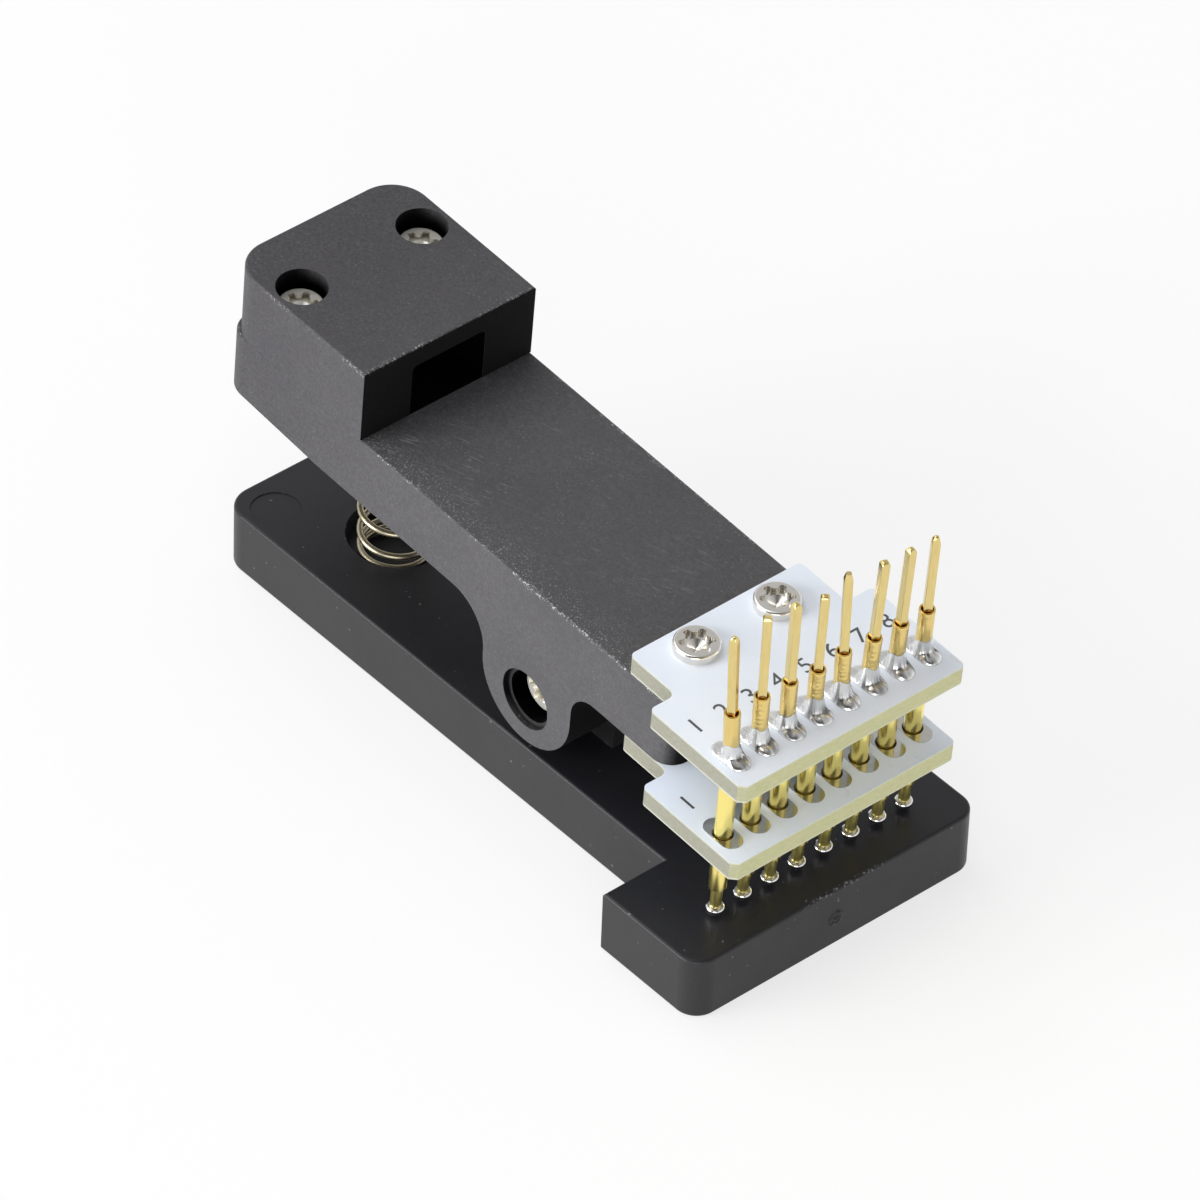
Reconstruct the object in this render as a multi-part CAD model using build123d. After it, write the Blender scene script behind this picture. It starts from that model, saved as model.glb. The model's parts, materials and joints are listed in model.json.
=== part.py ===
from build123d import *
import math
import os

# Probe programming clip: a sprung lever carries two small boards and a row of spring probes,
# and presses the probe tips on to whatever lies on the base plate.
# Millimetres. X runs forward to the probes, Y across, Z up. The origin is on the underside of
# the base plate, below the hinge axis. Parts of the lever are drawn about the hinge axis with
# the lever's top level, as (forward, across, up), and are tipped into place at the end.

# Base plate
base_rear = 34.5
base_front = 25.4
base_thickness = 5.3
body_width = 16.0
nose_width = 26.9
nose_length = 10.0
nose_offset = 0.22
body_corner_radius = 2.3
nose_corner_radius = 1.8
base_edge_round = 0.25
ejector_mark_diameter = 3.9
ejector_mark_depth = 0.08
ejector_mark_from_rear = 3.25
ejector_mark_from_side = 2.55

# Hinge
pivot_height = 9.75
post_width = 6.4
post_radius = 4.2
post_side_clearance = 0.2
hinge_head_diameter = 3.9
hinge_head_height = 1.4
hinge_head_depth = 1.6
hinge_head_clearance = 0.15
hinge_seat_clearance = 0.1
hinge_shank_diameter = 2.0
hinge_bore_clearance = 0.05
hinge_mouth_diameter = 4.9
hinge_mouth_depth = 0.5
hinge_screw_gap = 0.8
lug_radius = 4.8
lug_centre_height = 1.0
lug_rear_fillet = 3.7
lug_front_fillet = 2.3

# Lever
lever_width = 16.0
lever_top = 10.68
lever_rear = 34.9
lever_thickness = 5.8
lever_rear_thickness = 5.25
lever_taper_start = 24.0
lever_rear_corner_radius = 2.2
lever_edge_round = 0.2
nose_front = 15.15
nose_thickness = 5.95
nose_plan_radius = 1.7

# Cable cap
cap_length = 15.5
cap_height = 6.28
cap_corner_radius = 3.0
cap_edge_round = 0.2
channel_width = 6.8
channel_height = 4.6
channel_corner_radius = 0.5
cap_screw_from_rear = 5.5
cap_screw_spacing = 11.2
cap_head_depth = 1.6
cap_head_clearance = 0.2
cap_screw_length = 7.0

# Small screws, the same in the cap and in both boards
screw_head_diameter = 3.5
screw_head_height = 0.72
screw_shank_diameter = 2.0
screw_hole_clearance = 0.12
thread_clearance = 0.02
board_screw_length = 4.0
screw_tip_room = 0.3
lobe_count = 6
recess_share = 0.76
recess_depth_share = 0.6
recess_pit_share = 0.55
recess_pit_depth = 0.45
lobe_share = 0.27
hollow_share = 0.31
head_round_share = 0.3
tip_chamfer_share = 0.2

# Boards
board_thickness = 1.6
board_rear = 10.15
board_shoulder = 15.15
board_front = 25.05
board_tongue_width = 15.9
board_head_width = 20.8
board_notch_radius = 0.7
board_corner_chamfer = 0.5
board_corner_radius = 0.45
board_screw_forward = 12.47
board_screw_spacing = 7.5

# Probes
pin_count = 8
pin_pitch = 2.54
pin_row_forward = 22.1
tube_diameter = 1.32
tube_bore_diameter = 1.06
tube_neck_diameter = 1.2
tube_neck_bore_diameter = 0.96
tube_neck_root = 0.3
tube_above_board = 4.35
tube_below_board = 3.58
tube_hole_clearance = 0.12
tail_root_depth = 2.6
tail_width = 0.64
tail_above_tube = 7.35
tail_tip_chamfer = 0.2
tail_fit_clearance = 0.01
tail_lean_forward = (-0.24, -0.35, -0.18, 0.40, -0.31, 0.31, 0.39, 0.51)
tail_lean_side = (-0.64, -0.03, -0.09, -0.49, -0.27, 0.01, -0.17, -0.47)
tail_twist = (27, -39, -12, -38, -36, -20, -6, -34)
barrel_diameter = 1.02
barrel_bore_diameter = 0.90
barrel_length = 12.6
barrel_end_wall = 0.5
barrel_mouth_inset = 0.05
plunger_diameter = 0.86
plunger_in_barrel = 4.2
plunger_travel = 1.8
plunger_head_diameter = 1.38
plunger_head_height = 0.85
plunger_rim_round = 0.18
plunger_dome_round = 0.62
plunger_stop_gap = 0.08
tip_gap = 0.05
probe_wire = 0.18
probe_spring_diameter = 0.80
probe_spring_pitch = 0.85
probe_spring_end_gap = 0.05

# Pads and solder
pad_length = 3.4
pad_width = 1.75
pad_thickness = 0.05
solder_height = 1.35
solder_flank_radius = 2.16
solder_film = 0.14
solder_neck_wall = 0.1
solder_tube_clearance = 0.01

# Return spring
spring_outer_diameter = 5.7
spring_wire = 0.5
spring_pitch = 1.75
pocket_rearward = 23.6
pocket_radius = 4.0
base_pocket_depth = 1.3
lever_pocket_depth = 2.0
spring_seat_gap = 0.05
spring_wall_gap = 0.1
spring_shift_heading = -58

# How far cuts run past a face, and how closely an edge is looked for
overshoot = 1.0
edge_reach = 0.01


def box_between(x0, x1, y0, y1, z0, z1):
    centre = Pos((x0 + x1) / 2, (y0 + y1) / 2, (z0 + z1) / 2)
    return centre * Box(abs(x1 - x0), abs(y1 - y0), abs(z1 - z0))


def post_between(x, y, z0, z1, radius):
    return Pos(x, y, (z0 + z1) / 2) * Cylinder(radius, z1 - z0)


def outline_face(points):
    return make_face(Polyline(*points, close=True))


def write_node(name, solids):
    solids = solids if isinstance(solids, list) else [solids]
    pieces = [piece for shape in solids for piece in shape.solids()]
    export_step(Compound(children=pieces), f"parts/{name}.step")


def edges_at_height(shape, height):
    return shape.edges().filter_by_position(Axis.Z, height - edge_reach, height + edge_reach)


# Places worked out from the sizes above
underside = lever_top - lever_thickness
nose_underside = lever_top - nose_thickness
upper_board_top = lever_top + board_thickness
lower_board_underside = nose_underside - board_thickness
tube_foot = lower_board_underside - tube_below_board
head_room = plunger_travel + plunger_stop_gap
plunger_head_top = tube_foot - head_room
plunger_tip = plunger_head_top - plunger_head_height
ear_inner = post_width / 2 + post_side_clearance
cap_screw_forward = -lever_rear + cap_screw_from_rear
pin_places = [(index - (pin_count - 1) / 2) * pin_pitch for index in range(pin_count)]


def resting_pitch():
    """The angle that lays the probe tips just above the base plate."""
    drop = base_thickness + tip_gap - pivot_height
    reach = math.hypot(pin_row_forward, plunger_tip)
    return math.degrees(math.atan2(plunger_tip, pin_row_forward) + math.asin(-drop / reach))


lever_pitch = resting_pitch()
lever_place = Pos(0, 0, pivot_height) * Rot(0, lever_pitch, 0)


def lever_height_at(x, up):
    """World height of a lever plane, given its height above the hinge axis, at a world X."""
    turn = math.radians(lever_pitch)
    forward = (x - up * math.sin(turn)) / math.cos(turn)
    return pivot_height - forward * math.sin(turn) + up * math.cos(turn)


# Fasteners

def screw(head_diameter, head_height, shank_diameter, length):
    """A low round head with a six-lobed recess. The seat is at Z 0 and the shank points down."""
    head = post_between(0, 0, 0, head_height, head_diameter / 2)
    head = fillet(edges_at_height(head, head_height), head_height * head_round_share)
    shank = post_between(0, 0, -length, 0, shank_diameter / 2)
    shank = chamfer(edges_at_height(shank, -length), shank_diameter * tip_chamfer_share)
    return head + shank - recess(head_diameter * recess_share / 2, head_height)


def recess(radius, head_height):
    """Six lobes round a core, sunk from the top of the head, with a cone below them."""
    lobe = radius * lobe_share
    core = Circle(radius - lobe)
    lobes = [Rot(0, 0, 360 / lobe_count * index) * Pos(radius - lobe, 0) * Circle(lobe)
             for index in range(lobe_count)]
    hollows = [Rot(0, 0, 360 / lobe_count * (index + 0.5)) * Pos(radius, 0)
               * Circle(radius * hollow_share) for index in range(lobe_count)]
    star = core
    for piece in lobes:
        star += piece
    for piece in hollows:
        star -= piece
    floor = head_height * (1 - recess_depth_share)
    pit = Pos(0, 0, floor - recess_pit_depth / 2) * Cone(0, radius * recess_pit_share, recess_pit_depth)
    return Pos(0, 0, floor) * extrude(star, head_height - floor + overshoot) + pit


def small_screw(length):
    return screw(screw_head_diameter, screw_head_height, screw_shank_diameter, length)


def hinge_screw():
    length = lever_width / 2 - hinge_seat_depth() - hinge_screw_gap / 2
    return screw(hinge_head_diameter, hinge_head_height, hinge_shank_diameter, length)


def hinge_seat_depth():
    """How far the underside of the hinge screw's head is from the lever's side."""
    return hinge_head_depth + hinge_head_height


def hinge_screws():
    seat = lever_width / 2 - hinge_seat_depth()
    near = Pos(0, -seat, pivot_height) * Rot(90, 0, 0) * hinge_screw()
    far = Pos(0, seat, pivot_height) * Rot(-90, 0, 0) * hinge_screw()
    return [near, far]


# Base plate

def base_plate():
    body = Pos((base_front - nose_length - base_rear) / 2, 0)
    body *= Rectangle(base_rear + base_front - nose_length, body_width)
    nose = Pos(base_front - nose_length / 2, -nose_offset) * Rectangle(nose_length, nose_width)
    plan = body + nose
    plan = fillet(plan.vertices().group_by(Axis.X)[0], body_corner_radius)
    plan = fillet(plan.vertices().group_by(Axis.X)[-1], nose_corner_radius)
    plate = extrude(plan, base_thickness)
    rims = edges_at_height(plate, 0) + edges_at_height(plate, base_thickness)
    plate = fillet(rims, base_edge_round)
    plate += hinge_post()
    plate -= post_between(-pocket_rearward, 0, base_thickness - base_pocket_depth,
                          base_thickness + overshoot, pocket_radius)
    plate -= post_between(ejector_mark_from_rear - base_rear, ejector_mark_from_side - body_width / 2,
                          base_thickness - ejector_mark_depth, base_thickness + overshoot,
                          ejector_mark_diameter / 2)
    screw_hole = Pos(0, 0, pivot_height) * Rot(90, 0, 0)
    screw_hole *= Cylinder(hinge_shank_diameter / 2 + thread_clearance, post_width + overshoot)
    return plate - screw_hole


def hinge_post():
    """The block between the lever's ears, with a round top about the hinge axis."""
    block = box_between(-post_radius, post_radius, -post_width / 2, post_width / 2,
                        base_thickness / 2, pivot_height)
    crown = Pos(0, 0, pivot_height) * Rot(90, 0, 0) * Cylinder(post_radius, post_width)
    return block + crown


# Lever

def lever_profile():
    """Side outline about the hinge axis: arm, hinge lug and nose."""
    arm = outline_face([
        (-lever_rear, lever_top),
        (nose_front, lever_top),
        (nose_front, nose_underside),
        (lug_radius, nose_underside),
        (-lug_radius, underside),
        (-lever_taper_start, underside),
        (-lever_rear, lever_top - lever_rear_thickness),
    ])
    lug = Pos(0, lug_centre_height) * Circle(lug_radius)
    neck_top = (underside + lever_top) / 2
    neck = Pos(0, (lug_centre_height + neck_top) / 2)
    neck *= Rectangle(2 * lug_radius, neck_top - lug_centre_height)
    profile = arm + lug + neck
    profile = fillet(corner_near(profile, -lug_radius, underside), lug_rear_fillet)
    return fillet(corner_near(profile, lug_radius, nose_underside), lug_front_fillet)


def corner_near(sketch, x, y):
    spot = Vector(x, y, 0)
    return sketch.vertices().sort_by(lambda vertex: (Vector(*vertex) - spot).length)[0:1]


def lever_arm():
    arm = extrude(Plane.XZ * lever_profile(), lever_width / 2, both=True)
    upright = arm.edges().filter_by(Axis.Z)
    arm = fillet(upright.group_by(Axis.X)[0], lever_rear_corner_radius)
    upright = arm.edges().filter_by(Axis.Z)
    arm = fillet(upright.group_by(Axis.X)[-1], nose_plan_radius)
    arm = fillet(edges_at_height(arm, lever_top), lever_edge_round)
    slot_reach = lug_radius + lug_rear_fillet
    arm -= box_between(-slot_reach, slot_reach, -ear_inner, ear_inner,
                       -lug_radius, underside)
    arm -= post_between(-lever_pocket_rearward(), 0, underside - overshoot,
                        underside + lever_pocket_depth, pocket_radius)
    for side in (-1, 1):
        arm -= hinge_counterbore(side)
        arm -= thread_hole(cap_screw_forward, side * cap_screw_spacing / 2,
                           lever_top, -(cap_screw_length - cap_floor() + screw_tip_room))
        arm -= thread_hole(board_screw_forward, side * board_screw_spacing / 2,
                           lever_top, -(board_screw_length - board_thickness + screw_tip_room))
        arm -= thread_hole(board_screw_forward, side * board_screw_spacing / 2,
                           nose_underside, board_screw_length - board_thickness + screw_tip_room)
    return lever_place * arm


def lever_pocket_rearward():
    """The lever pocket's distance behind the hinge, so that it stands over the base pocket."""
    turn = math.radians(lever_pitch)
    mid = underside + lever_pocket_depth / 2
    return (pocket_rearward + mid * math.sin(turn)) / math.cos(turn)


def hinge_counterbore(side):
    """Mouth, head bore and shank bore in one ear."""
    outer = side * lever_width / 2
    seat = side * (lever_width / 2 - hinge_seat_depth() - hinge_seat_clearance)
    mouth = outer - side * hinge_mouth_depth
    cut = across(outer + side * overshoot, mouth, hinge_mouth_diameter / 2)
    cut += across(outer, seat, hinge_head_diameter / 2 + hinge_head_clearance)
    return cut + across(outer, 0, hinge_shank_diameter / 2 + hinge_bore_clearance)


def across(y0, y1, radius):
    return Pos(0, (y0 + y1) / 2, 0) * Rot(90, 0, 0) * Cylinder(radius, abs(y1 - y0))


def thread_hole(x, y, mouth, depth):
    low, high = sorted((mouth + depth, mouth - math.copysign(overshoot, depth)))
    return post_between(x, y, low, high, screw_shank_diameter / 2 + thread_clearance)


# Cable cap

def cap_floor():
    """Height of the screw seats above the underside of the cap."""
    return cap_height - cap_head_depth - screw_head_height


def cable_cap():
    plan = Pos(-lever_rear + cap_length / 2, 0) * Rectangle(cap_length, lever_width)
    plan = fillet(plan.vertices().group_by(Axis.X)[0], cap_corner_radius)
    cap = Pos(0, 0, lever_top) * extrude(plan, cap_height)
    cap = fillet(edges_at_height(cap, lever_top + cap_height), cap_edge_round)
    cap -= cable_channel()
    for side in (-1, 1):
        y = side * cap_screw_spacing / 2
        seat = lever_top + cap_floor()
        cap -= post_between(cap_screw_forward, y, seat, lever_top + cap_height + overshoot,
                            screw_head_diameter / 2 + cap_head_clearance)
        cap -= post_between(cap_screw_forward, y, lever_top - overshoot, seat + overshoot,
                            screw_shank_diameter / 2 + screw_hole_clearance)
    return lever_place * cap


def cable_channel():
    section = Pos(0, channel_height / 2 - overshoot / 2)
    section *= Rectangle(channel_width, channel_height + overshoot)
    section = fillet(section.vertices().group_by(Axis.Y)[-1], channel_corner_radius)
    rear = Plane(origin=(-lever_rear - overshoot, 0, lever_top), x_dir=(0, 1, 0), z_dir=(1, 0, 0))
    return extrude(rear * section, cap_length + 2 * overshoot)


def cap_screws():
    seat = lever_top + cap_floor()
    return [lever_place * Pos(cap_screw_forward, side * cap_screw_spacing / 2, seat)
            * small_screw(cap_screw_length) for side in (-1, 1)]


# Boards

def board(floor):
    half_tongue = board_tongue_width / 2
    half_head = board_head_width / 2
    plan = outline_face([
        (board_rear, -half_tongue),
        (board_shoulder, -half_tongue),
        (board_shoulder, -half_head),
        (board_front, -half_head),
        (board_front, half_head),
        (board_shoulder, half_head),
        (board_shoulder, half_tongue),
        (board_rear, half_tongue),
    ])
    for side in (-1, 1):
        plan = fillet(corner_near(plan, board_shoulder, side * half_tongue), board_notch_radius)
        plan = fillet(corner_near(plan, board_rear, side * half_tongue), board_corner_radius)
        plan = fillet(corner_near(plan, board_shoulder, side * half_head), board_corner_radius)
    plan = chamfer(corner_near(plan, board_front, -half_head), board_corner_chamfer)
    plan = fillet(corner_near(plan, board_front, half_head), board_corner_radius)
    for y in pin_places:
        plan -= Pos(pin_row_forward, y) * Circle(tube_diameter / 2 + tube_hole_clearance)
    for side in (-1, 1):
        hole = Circle(screw_shank_diameter / 2 + screw_hole_clearance)
        plan -= Pos(board_screw_forward, side * board_screw_spacing / 2) * hole
    return lever_place * Pos(0, 0, floor) * extrude(plan, board_thickness)


def pads(floor):
    """Tinned oval pads on both faces of a board."""
    ring = SlotOverall(pad_length, pad_width) - Circle(tube_diameter / 2 + tube_hole_clearance)
    plates = []
    for y in pin_places:
        for height in (floor - pad_thickness, floor + board_thickness):
            plates.append(lever_place * Pos(pin_row_forward, y, height)
                          * extrude(ring, pad_thickness))
    return plates


def board_screws(seat, flip):
    return [lever_place * Pos(board_screw_forward, side * board_screw_spacing / 2, seat)
            * Rot(flip, 0, 0) * small_screw(board_screw_length) for side in (-1, 1)]


# Probes

def lean_place(index):
    """Carries a shape standing on the upper board to the lean of one tail."""
    height = tube_above_board + tail_above_tube
    forward = math.degrees(math.atan2(tail_lean_forward[index], height))
    side = math.degrees(math.atan2(tail_lean_side[index], height))
    return Pos(pin_row_forward, pin_places[index], upper_board_top) * Rot(-side, forward, 0)


def receptacle_tube(index):
    """A brass tube through both boards, with a narrower neck that leans with its tail."""
    x, y = pin_row_forward, pin_places[index]
    lean = lean_place(index)
    tube = post_between(x, y, tube_foot, upper_board_top, tube_diameter / 2)
    tube += lean * post_between(0, 0, -tube_neck_root, tube_above_board, tube_neck_diameter / 2)
    tube -= post_between(x, y, tube_foot - overshoot, upper_board_top, tube_bore_diameter / 2)
    tube -= lean * post_between(0, 0, -tube_neck_root, tube_above_board + overshoot,
                                tube_neck_bore_diameter / 2)
    return lever_place * tube


def wire_wrap_tail(index):
    """A square post with a round root that is crimped in the tube."""
    root = post_between(0, 0, tube_above_board - tail_root_depth,
                        tube_above_board - tail_root_depth / 2,
                        tube_neck_bore_diameter / 2 - tail_fit_clearance)
    half = tail_width / 2
    tail = box_between(-half, half, -half, half, tube_above_board - tail_root_depth,
                       tube_above_board + tail_above_tube)
    tail = chamfer(edges_at_height(tail, tube_above_board + tail_above_tube), tail_tip_chamfer)
    return lever_place * lean_place(index) * Rot(0, 0, tail_twist[index]) * (root + tail)


def probe_barrel(index):
    y = pin_places[index]
    foot = tube_foot + barrel_mouth_inset
    barrel = post_between(pin_row_forward, y, foot, foot + barrel_length, barrel_diameter / 2)
    bore = post_between(pin_row_forward, y, foot - overshoot,
                        foot + barrel_length - barrel_end_wall, barrel_bore_diameter / 2)
    return lever_place * (barrel - bore)


def plunger(index):
    """A round shaft in the barrel with a domed head below it."""
    shaft = post_between(0, 0, plunger_head_top - plunger_head_height / 2,
                         plunger_head_top + head_room + plunger_in_barrel, plunger_diameter / 2)
    head = post_between(0, 0, plunger_tip, plunger_head_top, plunger_head_diameter / 2)
    head = fillet(edges_at_height(head, plunger_head_top), plunger_rim_round)
    head = fillet(edges_at_height(head, plunger_tip), plunger_dome_round)
    return lever_place * Pos(pin_row_forward, pin_places[index], 0) * (shaft + head)


def coil(radius, wire, pitch, height):
    """A plain helix of round wire standing on Z 0."""
    path = Helix(pitch=pitch, height=height - wire, radius=radius)
    section = Plane(origin=path @ 0, z_dir=path % 0) * Circle(wire / 2)
    return Pos(0, 0, wire / 2) * sweep(section, path=path, is_frenet=True)


def probe_spring(index):
    foot = plunger_head_top + head_room + plunger_in_barrel + probe_spring_end_gap
    top = tube_foot + barrel_mouth_inset + barrel_length - barrel_end_wall - probe_spring_end_gap
    spring = coil((probe_spring_diameter - probe_wire) / 2, probe_wire, probe_spring_pitch,
                  top - foot)
    return lever_place * Pos(pin_row_forward, pin_places[index], foot) * spring


def solder_joint(index):
    """Solder that wets the pad and rises up the tube in a hollow cone."""
    hole = tube_neck_diameter / 2 + solder_tube_clearance
    foot = pad_width / 2
    neck = hole + solder_neck_wall
    outline = make_face([
        Line((0, 0), (foot, 0)),
        RadiusArc((foot, 0), (neck, solder_height), solder_flank_radius),
        Line((neck, solder_height), (0, solder_height)),
        Line((0, solder_height), (0, 0)),
    ])
    cone = revolve(Plane.XZ * outline, Axis.Z)
    film = extrude(SlotOverall(pad_length, pad_width), solder_film)
    seat = upper_board_top + pad_thickness
    joint = Pos(pin_row_forward, pin_places[index], seat) * (film + cone)
    tube = lean_place(index) * post_between(0, 0, -overshoot, solder_height + overshoot, hole)
    return lever_place * (joint - tube)


# Return spring

def return_spring():
    """The spring leans on the pockets' wall to one side, as it has room in them."""
    foot = base_thickness - base_pocket_depth + spring_seat_gap
    radius = spring_outer_diameter / 2
    shift = Rot(0, 0, spring_shift_heading) * Pos(pocket_radius - radius - spring_wall_gap, 0)
    middle = Vector(-pocket_rearward, 0) + shift.position
    ceiling = lever_height_at(middle.X + radius, underside + lever_pocket_depth)
    height = ceiling - spring_seat_gap - foot
    spring = coil(radius - spring_wire / 2, spring_wire, spring_pitch, height)
    return Pos(middle.X, middle.Y, foot) * spring


def main():
    os.makedirs("parts", exist_ok=True)
    write_node("base_plate", base_plate())
    write_node("hinge_screws", hinge_screws())
    write_node("return_spring", return_spring())
    write_node("lever_arm", lever_arm())
    write_node("cable_cap", cable_cap())
    write_node("cap_screws", cap_screws())
    write_node("upper_board", board(lever_top))
    write_node("lower_board", board(lower_board_underside))
    write_node("upper_board_pads", pads(lever_top))
    write_node("lower_board_pads", pads(lower_board_underside))
    write_node("upper_board_screws", board_screws(upper_board_top, 0))
    write_node("lower_board_screws", board_screws(lower_board_underside, 180))
    pins = range(pin_count)
    write_node("solder_joints", [solder_joint(index) for index in pins])
    write_node("receptacle_tubes", [receptacle_tube(index) for index in pins])
    write_node("wire_wrap_tails", [wire_wrap_tail(index) for index in pins])
    write_node("probe_barrels", [probe_barrel(index) for index in pins])
    for index in pins:
        write_node(f"plunger_{index + 1}", plunger(index))
        write_node(f"probe_spring_{index + 1}", probe_spring(index))
    print("lever pitch at rest, degrees", round(lever_pitch, 3))


main()
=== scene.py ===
import bmesh
import bpy
import json
import math
import random
from mathutils import Matrix, Vector


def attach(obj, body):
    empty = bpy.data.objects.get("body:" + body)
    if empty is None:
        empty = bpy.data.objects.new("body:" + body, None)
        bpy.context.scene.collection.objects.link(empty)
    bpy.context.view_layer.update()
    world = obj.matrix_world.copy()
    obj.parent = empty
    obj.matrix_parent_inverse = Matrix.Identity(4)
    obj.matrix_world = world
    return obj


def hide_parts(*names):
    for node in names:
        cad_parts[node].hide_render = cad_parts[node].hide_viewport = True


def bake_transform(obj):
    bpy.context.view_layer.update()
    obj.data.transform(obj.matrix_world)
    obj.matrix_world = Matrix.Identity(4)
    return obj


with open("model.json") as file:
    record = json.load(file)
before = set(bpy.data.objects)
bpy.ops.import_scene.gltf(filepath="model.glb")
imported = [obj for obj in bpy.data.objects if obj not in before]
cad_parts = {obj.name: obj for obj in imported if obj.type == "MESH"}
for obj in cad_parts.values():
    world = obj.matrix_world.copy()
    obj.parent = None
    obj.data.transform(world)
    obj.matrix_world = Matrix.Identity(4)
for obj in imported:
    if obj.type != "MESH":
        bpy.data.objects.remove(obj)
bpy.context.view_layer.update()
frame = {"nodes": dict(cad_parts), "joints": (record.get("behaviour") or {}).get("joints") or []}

# Looks of the probe programming clip. The scene is in metres, and mm is one millimetre. Sizes,
# points given to on_lever and everything that the materials measure are in millimetres.

mm = 0.001
to_mm = 1000.0


def joint_named(name):
    return next(joint for joint in frame["joints"] if joint["name"] == name)


# The lever's own axes, read from the frame: forward, across and up about the hinge
pivot = Vector(joint_named("lever_pivot")["pos_m"])
lever_up = Vector(joint_named("plunger_1_press")["axis"]).normalized()
lever_across = Vector((0, 1, 0))
lever_forward = lever_across.cross(lever_up).normalized()
lever_axes = Matrix((lever_forward, lever_across, lever_up)).transposed()

# Sizes of the clip, in millimetres, as its construction has them. Places on the lever are from
# the hinge, and those on the base from the frame's origin. The lean of each tail is at its tip,
# its twist is in degrees, and the mask of the channel's painted shade is a little larger than the
# channel.
pin_count = 8
pin_pitch = 2.54
pin_forward = 22.1
board_thickness = 1.6
upper_board_top = 12.28
lower_board_floor = 3.13
base_front = 25.4
base_top = 5.33
tube_radius = 0.66
tube_bore_radius = 0.53
tube_foot = -0.45
neck_radius = 0.60
neck_bore_radius = 0.48
mouth_radius = 0.45
mouth_depth = 0.26
crimp_radius = 0.34
tube_above_board = 4.35
tail_root_depth = 2.6
tail_width = 0.64
tail_above_tube = 7.35
tail_lean_forward = (-0.24, -0.35, -0.18, 0.40, -0.31, 0.31, 0.39, 0.51)
tail_lean_side = (-0.64, -0.03, -0.09, -0.49, -0.27, 0.01, -0.17, -0.47)
tail_twist = (27, -39, -12, -38, -36, -20, -6, -34)
lever_top = 10.68
lever_half_width = 8.0
cap_top = 16.96
cap_front = -19.4
channel_mask_half_width = 4.6
channel_mask_height = 5.0
hinge_mouth_radius = 2.45
hinge_mouth_depth = 0.5
pad_length = 3.4
pad_width = 1.75
pad_thickness = 0.05
plunger_head_top = -2.33
probe_spring_radius = 0.31
probe_spring_wire = 0.18
probe_spring_foot = 3.80
probe_spring_top = 11.60
spring_centre = (-23.04, -0.89)
spring_radius = 2.60
spring_wire = 0.5
pin_places = [(index - (pin_count - 1) / 2) * pin_pitch for index in range(pin_count)]

# Heading of the photograph's viewpoint from the clip, seen from above
view_heading = math.radians(-42.0)


def on_lever(forward, across, up):
    """A point of the lever, given in millimetres about the hinge."""
    return pivot + lever_axes @ (Vector((forward, across, up)) * mm)


def lean_of(index):
    """Carries points given about a tube's axis above the upper board to the tube's lean."""
    height = tube_above_board + tail_above_tube
    side = math.atan2(tail_lean_side[index], height)
    forward = math.atan2(tail_lean_forward[index], height)
    place = Matrix.Translation((pin_forward, pin_places[index], upper_board_top))
    return place @ Matrix.Rotation(-side, 4, "X") @ Matrix.Rotation(forward, 4, "Y")


# Node graphs

class Nodes:
    """Short calls for the nodes of one tree."""

    def __init__(self, tree):
        self.tree = tree
        tree.nodes.clear()

    def new(self, kind, **inputs):
        """A node of a kind, with some of its inputs set or linked."""
        node = self.tree.nodes.new("ShaderNode" + kind)
        for name, value in inputs.items():
            self.put(node.inputs[name], value)
        return node

    def put(self, socket, value):
        if isinstance(value, bpy.types.NodeSocket):
            self.tree.links.new(value, socket)
        else:
            socket.default_value = value

    def fill(self, sockets, values):
        for socket, value in zip(sockets, values):
            self.put(socket, value)

    def math(self, operation, *values):
        node = self.new("Math")
        node.operation = operation
        self.fill(node.inputs, values)
        return node.outputs[0]

    def product(self, first, *others):
        for other in others:
            first = self.math("MULTIPLY", first, other)
        return first

    def off(self, value, middle=0.0):
        """How far a value is from a middle one, either way."""
        return self.math("ABSOLUTE", self.math("SUBTRACT", value, middle))

    def radius(self, first, second):
        """Distance from an axis, of two distances at right angles."""
        squares = self.math("ADD", self.product(first, first), self.product(second, second))
        return self.math("SQRT", squares)

    def vector(self, *parts):
        node = self.new("CombineXYZ")
        self.fill(node.inputs, parts)
        return node.outputs[0]

    def dot(self, first, second):
        node = self.new("VectorMath")
        node.operation = "DOT_PRODUCT"
        self.fill(node.inputs, (first, second))
        return node.outputs["Value"]

    def coordinates(self, kind):
        return self.new("TexCoord").outputs[kind]

    def span(self, value, low, high, start=0.0, end=1.0, smooth=False):
        """A value's range from low to high, turned into the range from start to end."""
        node = self.new("MapRange")
        node.interpolation_type = "SMOOTHSTEP" if smooth else "LINEAR"
        self.fill(node.inputs, (value, low, high, start, end))
        return node.outputs[0]

    def fade(self, value, low, high):
        """1 below low and 0 above high."""
        return self.span(value, low, high, start=1.0, end=0.0)

    def mix(self, factor, first, second):
        node = self.new("Mix")
        self.fill(node.inputs[:1] + node.inputs[2:4], (factor, first, second))
        return node.outputs[0]


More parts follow.
